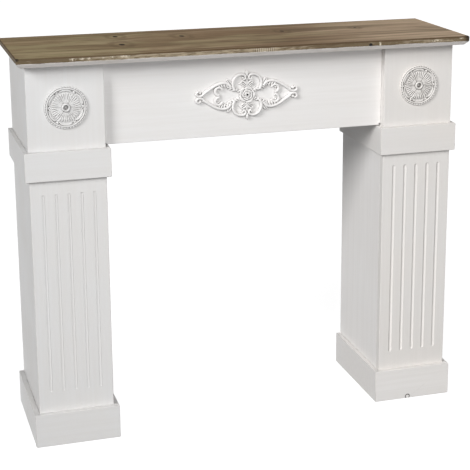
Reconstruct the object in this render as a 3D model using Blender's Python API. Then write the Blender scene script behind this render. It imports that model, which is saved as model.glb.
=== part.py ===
# A free-standing fireplace mantelpiece in painted board: two fluted legs with collars and plinths,
# a frieze board between them, a stained wooden shelf on top, a carved rosette on each leg and a
# scrolled ornament on the frieze. Metres, +Z up, and the front faces -Y. The origin is on the
# floor, under the middle of the shelf.

import math

import bmesh
import bpy
from mathutils import Matrix, Vector

# Overall sizes

TOTAL_HEIGHT = 0.950
SHELF_LENGTH = 1.100
SHELF_DEPTH = 0.325
SHELF_THICKNESS = 0.0225
SHELF_CHAMFER_HEIGHT = 0.0100
SHELF_CHAMFER_INSET = 0.0095
SHELF_ARRIS = 0.0015
SIDE_OVERHANG = 0.023
FRONT_OVERHANG = 0.045

# Boards

LEG_WIDTH = 0.180
BOARD_THICKNESS = 0.018
BACK_BOARD_THICKNESS = 0.009
JOINT_GAP = 0.0003

# Collar and plinth, each a front strip and two side strips with mitred corners

COLLAR_BOTTOM = 0.657
COLLAR_HEIGHT = 0.069
COLLAR_THICKNESS = 0.010
PLINTH_HEIGHT = 0.083
PLINTH_THICKNESS = 0.012

# Frieze board

FRIEZE_RECESS = 0.020
FRIEZE_LIFT = 0.002

# Flutes, round-nosed grooves in the front of each leg

FLUTE_COUNT = 5
FLUTE_WIDTH = 0.008
FLUTE_DEPTH = 0.003
FLUTE_FOOT_MARGIN = 0.047
FLUTE_HEAD_MARGIN = 0.030
FLUTE_SEGMENTS = 16
FLUTE_RINGS = 7

# Carvings

ROSETTE_RADIUS = 0.050
ROSETTE_RELIEF = 0.0080
ROSETTE_PETALS = 6
ROSETTE_STEPS = 48
PETAL_RELIEF = 0.62
PETAL_REACH = (0.25, 0.88)
MIDRIB_DEPTH = 0.28
MIDRIB_WIDTH = 0.22
ROPE_RELIEF = 0.14
ROPE_RADIUS = 0.93
ORNAMENT_WIDTH = 0.258
ORNAMENT_RELIEF = 0.0080

# The ornament is drawn 258 units wide, from its middle outwards, and its relief is one unit. A leaf
# is its middle, length, width, relief, heading in degrees and taper.

DRAWING_WIDTH = 258
BAND_WIDTH = 7.2
BED_DEPTH = 0.5
ROSE_RADIUS = 21
ROSE_PETALS = 5
TIP_CURL = ((104, 10.5), (112, 3.5), (120, 1.5), (125, 6), (121.5, 11), (117, 8.5))
SIDE_ARC = ((108, 7.5), (94, 21), (76, 31), (60, 33.5), (48, 29), (44, 20))
CROWN_SCROLL = ((30, 12), (35.5, 27), (33, 41), (24, 51), (13, 52.5), (6, 47), (7, 40), (13, 41))
LEAF_STRAP = ((10, 5), (30, 12.5), (46, 17), (61, 18))
INNER_CURL = ((71, 12), 9.5, 150, -85)
FINGERS = ((58, 26.5), (67, 25), (75, 22.5))
FINGER_SHAPE = (15, 6.5, 0.75, 65, 0.3)
SIDE_BUD = ((47.5, 34.5), 17, 9, 0.85, 45, 0.4)
FINIAL = ((0, 52), 17, 8.5, 0.95, 90, 0.3)
CALYX = ((0, 31), 36, 13, 0.80, 90, 0.6)
PETAL_WAVE = 0.07

# What follows from them

LEG_HEIGHT = TOTAL_HEIGHT - SHELF_THICKNESS - JOINT_GAP
LEG_DEPTH = SHELF_DEPTH - FRONT_OVERHANG
BACK_Y = SHELF_DEPTH / 2
LEG_FRONT_Y = BACK_Y - LEG_DEPTH
LEG_OUTER_X = SHELF_LENGTH / 2 - SIDE_OVERHANG
LEG_INNER_X = LEG_OUTER_X - LEG_WIDTH
LEG_MIDDLE_X = (LEG_OUTER_X + LEG_INNER_X) / 2
COLLAR_TOP = COLLAR_BOTTOM + COLLAR_HEIGHT
FRIEZE_FRONT_Y = LEG_FRONT_Y + FRIEZE_RECESS
FRIEZE_BOTTOM = COLLAR_TOP + FRIEZE_LIFT
FLUTE_PITCH = LEG_WIDTH / (FLUTE_COUNT + 1)
CARVING_HEIGHT = (COLLAR_TOP + LEG_HEIGHT) / 2

PAINT = (0.80, 0.79, 0.77)
WOOD = (0.25, 0.185, 0.115)


def clear_scene():
    for obj in list(bpy.data.objects):
        bpy.data.objects.remove(obj)


def principled(name, colour, roughness):
    material = bpy.data.materials.new(name)
    material.use_nodes = True
    shader = material.node_tree.nodes["Principled BSDF"]
    shader.inputs["Base Color"].default_value = (*colour, 1.0)
    shader.inputs["Roughness"].default_value = roughness
    shader.inputs["Metallic"].default_value = 0.0
    return material


def new_object(name, bm, material=None):
    """An object made from the bmesh, which is freed."""
    mesh = bpy.data.meshes.new(name)
    bm.to_mesh(mesh)
    bm.free()
    obj = bpy.data.objects.new(name, mesh)
    bpy.context.scene.collection.objects.link(obj)
    if material:
        mesh.materials.append(material)
    return obj


def block(name, low, high, material):
    """A plain board between two corners."""
    low, high = Vector(low), Vector(high)
    size = high - low
    bm = bmesh.new()
    bmesh.ops.create_cube(bm, size=1.0, matrix=Matrix.Diagonal((*size, 1.0)))
    obj = new_object(name, bm, material)
    obj.location = (low + high) / 2
    return obj


def prism(name, outline, bottom, top, material):
    """A board with the given outline in plan, from one height up to another."""
    bm = bmesh.new()
    foot = bm.faces.new([bm.verts.new((x, y, bottom)) for x, y in outline])
    raised = bmesh.ops.extrude_face_region(bm, geom=[foot])
    lifted = [item for item in raised["geom"] if isinstance(item, bmesh.types.BMVert)]
    bmesh.ops.translate(bm, verts=lifted, vec=(0, 0, top - bottom))
    bmesh.ops.recalc_face_normals(bm, faces=bm.faces)
    return new_object(name, bm, material)


def helper(obj):
    """Marks a cutter, which is not a piece of the mantel."""
    obj.hide_render = True
    obj.display_type = "WIRE"
    return obj


def boolean(obj, cutter, operation, overlapping=False):
    modifier = obj.modifiers.new(operation.title(), "BOOLEAN")
    modifier.operation = operation
    modifier.solver = "EXACT"
    modifier.object = cutter
    modifier.use_self = overlapping


# Shelf

def make_shelf(material):
    """A board with an eased upper edge and a chamfer under its front and its two ends."""
    half_length = SHELF_LENGTH / 2
    half_depth = SHELF_DEPTH / 2
    bottom = TOTAL_HEIGHT - SHELF_THICKNESS
    levels = (
        (bottom, SHELF_CHAMFER_INSET),
        (bottom + SHELF_CHAMFER_HEIGHT, 0.0),
        (TOTAL_HEIGHT - SHELF_ARRIS, 0.0),
        (TOTAL_HEIGHT, SHELF_ARRIS),
    )
    bm = bmesh.new()
    rings = []
    for height, inset in levels:
        x, front = half_length - inset, -half_depth + inset
        corners = [(-x, front), (x, front), (x, half_depth), (-x, half_depth)]
        verts = [bm.verts.new((cx, cy, height)) for cx, cy in corners]
        rings.append([bm.edges.new((verts[i - 1], verts[i])) for i in range(len(verts))])
    for lower, upper in zip(rings, rings[1:]):
        bmesh.ops.bridge_loops(bm, edges=lower + upper)
    bmesh.ops.holes_fill(bm, edges=rings[0] + rings[-1])
    bmesh.ops.recalc_face_normals(bm, faces=bm.faces)
    return new_object("shelf_board", bm, material)


# Legs

def flute_cutter(name, side):
    """The round-nosed grooves of one leg, as capsules that stand partly in front of its face."""
    depth_radius = (FLUTE_WIDTH**2 / 4 + FLUTE_DEPTH**2) / (2 * FLUTE_DEPTH)
    foot = PLINTH_HEIGHT + FLUTE_FOOT_MARGIN
    head = COLLAR_BOTTOM - FLUTE_HEAD_MARGIN
    stretch = (head - foot) / 2 - depth_radius
    bm = bmesh.new()
    for index in range(FLUTE_COUNT):
        across = (index - (FLUTE_COUNT - 1) / 2) * FLUTE_PITCH
        place = Vector((
            side * LEG_MIDDLE_X + across,
            LEG_FRONT_Y + FLUTE_DEPTH - depth_radius,
            (foot + head) / 2,
        ))
        capsule = bmesh.ops.create_uvsphere(
            bm, u_segments=FLUTE_SEGMENTS, v_segments=FLUTE_RINGS, radius=depth_radius
        )["verts"]
        for vert in capsule:
            vert.co.z += math.copysign(stretch, vert.co.z)
        bmesh.ops.translate(bm, verts=capsule, vec=place)
    return helper(new_object(name, bm))


def make_leg(prefix, side, material):
    """A box of four upright boards. The front one carries the flutes, and the back is plain."""
    inner, outer = side * LEG_INNER_X, side * LEG_OUTER_X
    left, right = sorted((inner, outer))
    front = block(
        f"{prefix}_leg_front",
        (left, LEG_FRONT_Y, 0),
        (right, LEG_FRONT_Y + BOARD_THICKNESS, LEG_HEIGHT),
        material,
    )
    boolean(front, flute_cutter(f"{prefix}_flute_cutter", side), "DIFFERENCE")
    side_front = LEG_FRONT_Y + BOARD_THICKNESS + JOINT_GAP
    for word, x, inwards in (("outer", outer, -side), ("inner", inner, side)):
        low_x, high_x = sorted((x, x + inwards * BOARD_THICKNESS))
        block(
            f"{prefix}_leg_{word}_side",
            (low_x, side_front, 0),
            (high_x, BACK_Y, LEG_HEIGHT),
            material,
        )
    rebate = BOARD_THICKNESS + JOINT_GAP
    block(
        f"{prefix}_leg_back",
        (left + rebate, BACK_Y - BACK_BOARD_THICKNESS, 0),
        (right - rebate, BACK_Y, LEG_HEIGHT),
        material,
    )


def make_band(prefix, kind, side, bottom, top, thickness, material):
    """Three strips wrapped round the front and sides of a leg, mitred at the two front corners."""
    mitre_step = JOINT_GAP * math.sqrt(2)
    inner_x = side * (LEG_INNER_X - JOINT_GAP)
    outer_x = side * (LEG_OUTER_X + JOINT_GAP)
    face_y = LEG_FRONT_Y - JOINT_GAP
    far_inner = inner_x - side * thickness
    far_outer = outer_x + side * thickness
    prism(
        f"{prefix}_{kind}_front",
        [
            (far_inner, face_y - thickness),
            (far_outer, face_y - thickness),
            (outer_x, face_y),
            (inner_x, face_y),
        ],
        bottom,
        top,
        material,
    )
    for word, near, far in (("outer", outer_x, far_outer), ("inner", inner_x, far_inner)):
        prism(
            f"{prefix}_{kind}_{word}",
            [
                (far, face_y - thickness + mitre_step),
                (near, face_y + mitre_step),
                (near, BACK_Y),
                (far, BACK_Y),
            ],
            bottom,
            top,
            material,
        )


# Frieze

def make_frieze(material):
    reach = LEG_INNER_X - JOINT_GAP
    return block(
        "frieze_board",
        (-reach, FRIEZE_FRONT_Y, FRIEZE_BOTTOM),
        (reach, FRIEZE_FRONT_Y + BOARD_THICKNESS, LEG_HEIGHT),
        material,
    )


# Carvings. They are modelled lying down, with x to the right, y up the wall and z out of it, and
# then stood against their board.

def hang(obj, x, face_y):
    obj.location = (x, face_y - JOINT_GAP, CARVING_HEIGHT)
    obj.rotation_euler = (math.radians(90), 0, 0)
    return obj


def turned(bm, profile, steps):
    """Spins a profile of (radius, height) pairs, which starts and ends on the axis, into a solid."""
    verts = [bm.verts.new((radius, 0, height)) for radius, height in profile]
    edges = [bm.edges.new(pair) for pair in zip(verts, verts[1:])]
    bmesh.ops.spin(
        bm,
        geom=verts + edges,
        cent=(0, 0, 0),
        axis=(0, 0, 1),
        angle=math.tau,
        steps=steps,
        use_merge=True,
    )
    bmesh.ops.remove_doubles(bm, verts=bm.verts, dist=1e-6)
    bmesh.ops.recalc_face_normals(bm, faces=bm.faces)


def petal_share(radius, angle, count, first_angle, inner, outer):
    """How high a ring of petals stands at a point: 0 between petals, 1 on a petal's back."""
    if not inner < radius < outer:
        return 0.0
    pitch = math.tau / count
    off_axis = abs((angle - first_angle + pitch / 2) % pitch - pitch / 2)
    along = (radius - inner) / (outer - inner)
    half_width = 0.5 * pitch * math.sqrt(max(0.0, 1 - (2 * along - 1) ** 2)) ** 0.7
    if off_axis >= half_width:
        return 0.0
    crown = 1 - (off_axis / half_width) ** 2
    return math.sqrt(crown) - MIDRIB_DEPTH * max(0.0, 1 - off_axis / (MIDRIB_WIDTH * pitch))


def make_rosette(name, side, material):
    """A round boss: a roped rim, six petals and a hollow button, spun and then shaped by angle."""
    r, relief = ROSETTE_RADIUS, ROSETTE_RELIEF
    field = 0.36 * relief
    profile = [
        (0, 0),
        (r, 0),
        (r, 0.36 * relief),
        (ROPE_RADIUS * r, 0.80 * relief),
        (0.86 * r, field),
        (0.76 * r, field),
        (0.65 * r, field),
        (0.52 * r, field),
        (0.39 * r, field),
        (0.28 * r, field),
        (0.23 * r, 0.88 * relief),
        (0.14 * r, 1.00 * relief),
        (0.09 * r, 0.40 * relief),
        (0, 0.40 * relief),
    ]
    bm = bmesh.new()
    turned(bm, profile, ROSETTE_STEPS)
    for vert in bm.verts:
        if vert.co.z == 0:
            continue
        radius, angle = math.hypot(vert.co.x, vert.co.y) / r, math.atan2(vert.co.y, vert.co.x)
        share = petal_share(radius, angle, ROSETTE_PETALS, math.radians(90), *PETAL_REACH)
        vert.co.z += PETAL_RELIEF * relief * share
        if abs(radius - ROPE_RADIUS) < 0.01:
            vert.co.z += ROPE_RELIEF * relief * math.cos(angle * ROSETTE_STEPS / 2)
    obj = new_object(name, bm, material)
    return hang(obj, side * LEG_MIDDLE_X, LEG_FRONT_Y)


def smooth_path(points, steps):
    """Points along a Catmull-Rom curve through the given ones."""
    points = [Vector(point) for point in points]
    ends = [2 * points[0] - points[1], *points, 2 * points[-1] - points[-2]]
    path = []
    for before, start, end, after in zip(ends, ends[1:], ends[2:], ends[3:]):
        for step in range(steps):
            t = step / steps
            path.append(0.5 * (
                2 * start
                + (end - before) * t
                + (2 * before - 5 * start + 4 * end - after) * t**2
                + (3 * start - before - 3 * end + after) * t**3
            ))
    return [*path, points[-1]]


def arc_path(centre, radius, first, last, steps):
    """Points along an arc, with its angles in degrees."""
    angles = [math.radians(first + (last - first) * step / steps) for step in range(steps + 1)]
    return [Vector(centre) + radius * Vector((math.cos(a), math.sin(a))) for a in angles]


def carve_band(bm, path, widths, heights):
    """A raised band with a rounded back along a path, tapering between its two ends."""
    section = ((1.0, -1.0), (0.95, 0.35), (0.5, 0.9), (-0.5, 0.9), (-0.95, 0.35), (-1.0, -1.0))
    last = len(path) - 1
    rings = []
    for index, point in enumerate(path):
        heading = path[min(index + 1, last)] - path[max(index - 1, 0)]
        across = Vector((-heading.y, heading.x)).normalized()
        share = index / last
        half_width = (widths[0] + (widths[1] - widths[0]) * share) / 2
        height = heights[0] + (heights[1] - heights[0]) * share
        verts = []
        for sideways, up in section:
            place = point + across * sideways * half_width
            verts.append(bm.verts.new((*place, up * height if up > 0 else -BED_DEPTH)))
        rings.append([bm.edges.new((verts[i - 1], verts[i])) for i in range(len(verts))])
    for near, far in zip(rings, rings[1:]):
        bmesh.ops.bridge_loops(bm, edges=near + far)
    bmesh.ops.holes_fill(bm, edges=rings[0] + rings[-1])


def carve_leaf(bm, centre, length, width, height, heading, taper):
    """A low oval leaf or bud, which narrows towards its heading."""
    leaf = bmesh.ops.create_uvsphere(bm, u_segments=8, v_segments=6, radius=1.0)["verts"]
    for vert in leaf:
        narrowing = 1 - taper * (vert.co.x + 1) / 2
        vert.co = Vector((
            vert.co.x * length / 2,
            vert.co.y * width / 2 * narrowing,
            vert.co.z * height,
        ))
    turn = Matrix.Rotation(math.radians(heading), 4, "Z")
    bmesh.ops.transform(bm, matrix=Matrix.Translation((*centre, 0)) @ turn, verts=leaf)


def carve_quarter(bm):
    """The upper right quarter of the ornament, which the other three repeat."""
    wide = BAND_WIDTH
    carve_band(bm, smooth_path(SIDE_ARC, 3), (wide, wide), (0.75, 0.85))
    carve_band(bm, smooth_path(TIP_CURL, 3), (wide, 0.7 * wide), (0.75, 0.85))
    carve_band(bm, smooth_path(CROWN_SCROLL, 3), (wide, 0.8 * wide), (0.8, 0.9))
    carve_band(bm, smooth_path(LEAF_STRAP, 2), (1.8 * wide, wide), (0.9, 0.6))
    carve_band(bm, arc_path(*INNER_CURL, 8), (0.8 * wide, wide), (0.7, 0.85))
    for finger in FINGERS:
        carve_leaf(bm, finger, *FINGER_SHAPE)
    carve_leaf(bm, *SIDE_BUD)


def carve_rose(bm):
    """The flower in the middle: two rings of petals round a bud, spun and shaped by angle."""
    profile = (
        (0.00, -BED_DEPTH),
        (1.00, -BED_DEPTH),
        (1.00, 0.40),
        (0.84, 0.95),
        (0.60, 0.70),
        (0.52, 1.15),
        (0.36, 0.85),
        (0.26, 1.25),
        (0.10, 0.95),
        (0.00, 0.95),
    )
    rose = bmesh.new()
    turned(rose, [(share * ROSE_RADIUS, height) for share, height in profile], ROSE_PETALS * 6)
    for vert in rose.verts:
        angle = math.atan2(vert.co.y, vert.co.x)
        inner_ring = math.hypot(vert.co.x, vert.co.y) < 0.56 * ROSE_RADIUS
        wave = math.cos(ROSE_PETALS * angle + (math.pi if inner_ring else 0))
        vert.co.xy *= 1 + PETAL_WAVE * wave
    merge(bm, rose)


def merge(bm, other, across=1, up=1):
    """Adds the other bmesh, turned over to the left or to the bottom where a sign is -1."""
    bmesh.ops.transform(other, matrix=Matrix.Diagonal((across, up, 1, 1)), verts=other.verts)
    bmesh.ops.recalc_face_normals(other, faces=other.faces)
    mesh = bpy.data.meshes.new("added")
    other.to_mesh(mesh)
    other.free()
    bm.from_mesh(mesh)
    bpy.data.meshes.remove(mesh)


def make_ornament(material):
    """Scrolls, leaves and a rose in relief, overlapped, fused and cut flat against the board."""
    bm = bmesh.new()
    for across in (1, -1):
        for up in (1, -1):
            quarter = bmesh.new()
            carve_quarter(quarter)
            merge(bm, quarter, across, up)
    carve_rose(bm)
    for up in (1, -1):
        finial = bmesh.new()
        carve_leaf(finial, *FINIAL)
        carve_leaf(finial, *CALYX)
        merge(bm, finial, 1, up)
    unit = ORNAMENT_WIDTH / DRAWING_WIDTH
    bmesh.ops.scale(bm, vec=(unit, unit, ORNAMENT_RELIEF), verts=bm.verts)
    obj = new_object("frieze_ornament", bm, material)

    bm = bmesh.new()
    size = Vector((1.5 * ORNAMENT_WIDTH, ORNAMENT_WIDTH, 4 * ORNAMENT_RELIEF))
    place = Matrix.Translation((0, 0, -size.z / 2))
    bmesh.ops.create_cube(bm, size=1.0, matrix=place @ Matrix.Diagonal((*size, 1.0)))
    backing = helper(new_object("ornament_back_cutter", bm))
    boolean(obj, backing, "DIFFERENCE", overlapping=True)
    hang(backing, 0, FRIEZE_FRONT_Y)
    return hang(obj, 0, FRIEZE_FRONT_Y)


def shade_round(obj):
    obj.data.shade_smooth()
    obj.data.set_sharp_from_angle(angle=math.radians(40))


def main():
    clear_scene()
    paint = principled("white paint", PAINT, 0.45)
    wood = principled("stained wood", WOOD, 0.6)
    make_shelf(wood)
    for prefix, side in (("left", -1), ("right", 1)):
        make_leg(prefix, side, paint)
        make_band(
            prefix, "collar", side, COLLAR_BOTTOM, COLLAR_TOP, COLLAR_THICKNESS, paint
        )
        make_band(prefix, "plinth", side, 0, PLINTH_HEIGHT, PLINTH_THICKNESS, paint)
        shade_round(make_rosette(f"{prefix}_rosette", side, paint))
    make_frieze(paint)
    shade_round(make_ornament(paint))


main()
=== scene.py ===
# %% [markdown]
# # A painted mantelpiece with a stained shelf
#
# The real piece is a light surround of painted board: two boxed legs with flutes, a frieze between
# them, a pine shelf on top and three carved mounts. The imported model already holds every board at
# its true size. This lesson dresses it: it softens the edges of the boards, cuts smoother flutes,
# carves the mounts finely and gives each surface its paint, stain and wear.
#
# The frame is loaded first, because every piece takes its place and size from it.

import math

import bmesh
import bpy
from mathutils import Euler, Matrix, Vector, noise


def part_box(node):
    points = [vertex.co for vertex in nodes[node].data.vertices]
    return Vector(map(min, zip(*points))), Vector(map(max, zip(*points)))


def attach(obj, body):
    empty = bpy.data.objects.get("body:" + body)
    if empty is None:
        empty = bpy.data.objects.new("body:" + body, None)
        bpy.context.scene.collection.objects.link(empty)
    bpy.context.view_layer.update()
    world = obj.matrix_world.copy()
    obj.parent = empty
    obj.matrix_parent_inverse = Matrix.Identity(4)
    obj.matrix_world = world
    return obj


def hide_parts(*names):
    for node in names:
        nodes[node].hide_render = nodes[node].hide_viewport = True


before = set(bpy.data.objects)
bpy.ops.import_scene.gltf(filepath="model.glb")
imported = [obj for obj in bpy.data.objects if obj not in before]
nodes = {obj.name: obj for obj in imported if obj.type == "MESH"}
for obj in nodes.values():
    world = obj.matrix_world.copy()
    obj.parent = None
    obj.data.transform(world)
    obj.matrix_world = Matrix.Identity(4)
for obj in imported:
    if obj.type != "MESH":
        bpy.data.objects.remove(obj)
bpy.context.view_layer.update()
print("frame loaded with", len(nodes), "nodes")

# %% [markdown]
# ## The camera
#
# The photograph was taken from the left, a little above the shelf, with a long lens. The place and
# the turn of the camera were worked out from the straight edges of the object, so they are real
# sizes: metres and degrees. The object sits low in the frame, so the lens is shifted a little
# rather than tilted, which keeps the legs as upright as the photograph shows them.

# %% Camera
CAMERA_PLACE = (-0.9118, -3.1259, 1.4542)
CAMERA_TURN = (75.765, 0.105, -17.448)
LENS_LENGTH = 103.23
LENS_SHIFT = (-0.0574, -0.1489)

camera = bpy.data.objects.new("camera", bpy.data.cameras.new("camera"))
camera.data.lens = LENS_LENGTH
camera.data.shift_x, camera.data.shift_y = LENS_SHIFT
camera.location = CAMERA_PLACE
camera.rotation_euler = Euler([math.radians(angle) for angle in CAMERA_TURN])
bpy.context.scene.collection.objects.link(camera)
bpy.context.scene.camera = camera
print("camera with a lens of", LENS_LENGTH, "mm")

# %% [markdown]
# ## Helpers for nodes
#
# A material is a small chain of nodes, and these helpers keep each one readable. They start a
# material, add a node with its settings and links, work out a sum, mix two colours, and draw a smooth
# step or a noise. One turns a colour as it looks on a screen, from 0 to 255, into the linear values
# that the shader expects.

# %% Node helpers
def screen_colour(red, green, blue):
    """A colour read as it looks on a screen, as linear values with full alpha."""
    linear = []
    for value in (red, green, blue):
        share = value / 255
        linear.append(share / 12.92 if share <= 0.04045 else ((share + 0.055) / 1.055) ** 2.4)
    return (*linear, 1.0)


def object_place(tree):
    return add_node(tree, "TexCoord").outputs["Object"]


def new_material(name):
    material = bpy.data.materials.new(name)
    material.use_nodes = True
    return material, material.node_tree, material.node_tree.nodes["Principled BSDF"]


def add_node(tree, kind, inputs=None, **settings):
    """Adds a shader node of a kind, with its settings, and fills its inputs with values or outputs."""
    node = tree.nodes.new("ShaderNode" + kind)
    for name, value in settings.items():
        setattr(node, name, value)
    for name, value in (inputs or {}).items():
        if isinstance(value, bpy.types.NodeSocket):
            tree.links.new(value, node.inputs[name])
        else:
            node.inputs[name].default_value = value
    return node


def maths(tree, operation, *values):
    """The result of a Math node on one, two or three values or outputs."""
    return add_node(tree, "Math", dict(enumerate(values)), operation=operation).outputs[0]


def mix_colours(tree, share, first, second):
    inputs = {0: share, 6: first, 7: second}
    return add_node(tree, "Mix", inputs, data_type="RGBA").outputs[2]


def tint(tree, colour, mask, strength, other):
    """Mixes another colour in where the mask is 1, up to the given strength."""
    return mix_colours(tree, maths(tree, "MULTIPLY", mask, strength), colour, other)


def step_between(tree, value, low, high):
    """0 below the low value, 1 above the high one and a smooth rise between them."""
    ends = {"Value": value, "From Min": low, "From Max": high}
    return add_node(tree, "MapRange", ends, interpolation_type="SMOOTHSTEP").outputs[0]


def noise_on(tree, vector, scale, detail, roughness):
    """A noise pattern that is read along a vector."""
    settings = {"Vector": vector, "Scale": scale, "Detail": detail, "Roughness": roughness}
    return add_node(tree, "TexNoise", settings).outputs["Fac"]


def stretched_noise(tree, stretch, scale, detail=4.0, roughness=0.55):
    """A noise pattern on the object's own coordinates, stretched by a factor along each axis."""
    stretched = add_node(tree, "Mapping", {"Vector": object_place(tree), "Scale": stretch})
    return noise_on(tree, stretched.outputs[0], scale, detail, roughness)


def add_bump(tree, shader, height, depth, strength):
    """Lets a pattern raise the surface by up to a depth in metres."""
    settings = {"Height": height, "Distance": depth, "Strength": strength}
    bump = add_node(tree, "Bump", settings)
    tree.links.new(bump.outputs[0], shader.inputs["Normal"])


print("node helpers ready")

# %% [markdown]
# ## White paint
#
# The boards carry a satin white paint that was brushed on along their length. Up close it is never
# one flat white: the brush leaves fine ridges, some patches are a little warmer, and at the arrises
# the paint is thin and slightly grey. It has yellowed a little more towards the right-hand end. The
# ridges run up a leg, along a rail and every way on a carving, so one function makes all the paints
# and is told which way the brush went. It is also told how far to whiten the paint: the frieze with
# its ornament, the inner sides and the right-hand plinth are painted whiter, which is painted light
# standing in for light that the lamps give them too little of. The wear and the painted shade that
# greys the recesses are read from two attributes of the mesh, which the pieces get below, so they
# stay in place from every side.

# %% Paint materials
WARM_WHITE = screen_colour(225, 221, 217)
COOL_WHITE = screen_colour(223, 223, 223)
PAINTED_LIGHT_WHITE = screen_colour(246, 244, 243)
THIN_PAINT = screen_colour(212, 208, 203)
PAINTED_SHADE_GREY = screen_colour(74, 70, 66)
UPRIGHT_STROKES = (1.0, 1.0, 0.03)
LEVEL_STROKES = (0.03, 1.0, 1.0)
EVEN = (1.0, 1.0, 1.0)
YELLOW_FROM, YELLOW_TO = -0.3, 0.5
YELLOW_BY_PLACE, YELLOW_BY_PATCH = 0.7, 0.3
STREAK_STRENGTH, RIDGE_STRENGTH = 0.14, 0.12
WORN_STRENGTH, PAINTED_SHADE_STRENGTH = 0.6, 0.9
BOARD_BRUSH, CARVING_BRUSH = 420.0, 260.0
RIDGE_DEPTH = 0.00006


def white_paint(name, strokes, painted_light=0.0, brush_scale=BOARD_BRUSH):
    material, tree, shader = new_material(name)
    along = add_node(tree, "SeparateXYZ", {0: object_place(tree)}).outputs[0]
    patches = step_between(tree, stretched_noise(tree, EVEN, 5.0, detail=3.0), 0.35, 0.65)
    yellowed = step_between(tree, along, YELLOW_FROM, YELLOW_TO)
    yellowed = maths(tree, "MULTIPLY", yellowed, YELLOW_BY_PLACE)
    yellowed = maths(tree, "MULTIPLY_ADD", patches, YELLOW_BY_PATCH, yellowed)
    colour = mix_colours(tree, yellowed, COOL_WHITE, WARM_WHITE)
    # Painted light: the given share mixes in a whiter white where the lamps give too little light.
    colour = mix_colours(tree, painted_light, colour, PAINTED_LIGHT_WHITE)

    brush = stretched_noise(tree, strokes, brush_scale, detail=3.0)
    streaks = step_between(tree, stretched_noise(tree, strokes, brush_scale / 4), 0.35, 0.65)
    ridges = maths(tree, "MULTIPLY", brush, RIDGE_STRENGTH)
    thinner = maths(tree, "MULTIPLY_ADD", streaks, STREAK_STRENGTH, ridges)
    colour = mix_colours(tree, thinner, colour, THIN_PAINT)

    worn = add_node(tree, "Attribute", attribute_name="worn").outputs["Fac"]
    ragged = step_between(tree, stretched_noise(tree, EVEN, 70.0, detail=5.0), 0.42, 0.62)
    worn = maths(tree, "MULTIPLY", worn, ragged)
    colour = tint(tree, colour, worn, WORN_STRENGTH, THIN_PAINT)
    # Painted shade: points that lie below their smoothed surroundings are greyed, as shade in
    # recesses.
    painted_shade = add_node(tree, "Attribute", attribute_name="painted_shade").outputs["Fac"]
    colour = tint(tree, colour, painted_shade, PAINTED_SHADE_STRENGTH, PAINTED_SHADE_GREY)
    tree.links.new(colour, shader.inputs["Base Color"])

    gloss = maths(tree, "MULTIPLY_ADD", patches, 0.08, 0.42)
    tree.links.new(gloss, shader.inputs["Roughness"])
    add_bump(tree, shader, brush, RIDGE_DEPTH, 0.8)
    return material


upright_paint = white_paint("paint brushed upwards", UPRIGHT_STROKES)
level_paint = white_paint("paint brushed along", LEVEL_STROKES)
# These paints are mixed towards a whiter white, as painted light standing in for light that the lamps
# give too little of. The rosettes' paint takes a little of it.
upright_paint_with_painted_light = white_paint("paint brushed upwards, whitened as painted light", UPRIGHT_STROKES, painted_light=0.65)
level_paint_with_painted_light = white_paint("paint brushed along, whitened as painted light", LEVEL_STROKES, painted_light=0.35)
carving_paint = white_paint("paint on carving", EVEN, painted_light=0.1, brush_scale=CARVING_BRUSH)
carving_paint_with_painted_light = white_paint(
    "paint on carving, whitened as painted light", EVEN, painted_light=0.7, brush_scale=CARVING_BRUSH
)
print("six white paints ready")

# %% [markdown]
# ## Stained pine
#
# The shelf is pine under a greyish brown stain. Pine grain is a set of long lines that swing round
# each knot. A field does the same: it rises across the board, wanders slowly, and has a hump at each
# knot, and a noise that is read along this field draws the lines. The stain took unevenly, so it
# drifts between an olive and a reddish brown. The colour also turns paler towards the right.

# %% Grain of the pine
PINE_OLIVE = screen_colour(170, 154, 117)
PINE_RED = screen_colour(145, 119, 90)
PINE_LIGHT = screen_colour(204, 178, 150)
PINE_DARK = screen_colour(100, 82, 58)
KNOT_HEART = screen_colour(34, 24, 16)
SHELF_TOP = 0.95
KNOTS = (
    (-0.285, -0.030, 0.0076),
    (-0.276, 0.094, 0.0066),
    (-0.119, 0.054, 0.0070),
    (0.139, 0.055, 0.0056),
    (0.334, 0.053, 0.0040),
)
KNOT_ALONG, KNOT_ACROSS = 0.9, 1.5
KNOT_SPREAD = 6.0
KNOT_LIFT = 2.6
KNOT_RING = 3.6
BROAD_GRAIN, FINE_GRAIN = 46.0, 260.0


def spot(tree, place, centre, radii, soft=0.5):
    """1 inside an ellipsoid, fading to 0 a little outside it, and the distance in radii."""
    kind = "VectorMath"
    away = add_node(tree, kind, {0: place, 1: centre}, operation="SUBTRACT").outputs[0]
    shares = add_node(tree, kind, {0: away, 1: radii}, operation="DIVIDE").outputs[0]
    distance = add_node(tree, kind, {0: shares}, operation="LENGTH").outputs["Value"]
    inside = maths(tree, "SUBTRACT", 1.0, step_between(tree, distance, 1 - soft, 1 + soft))
    return inside, distance


def largest(tree, masks):
    result = masks[0]
    for mask in masks[1:]:
        result = maths(tree, "MAXIMUM", result, mask)
    return result


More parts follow.
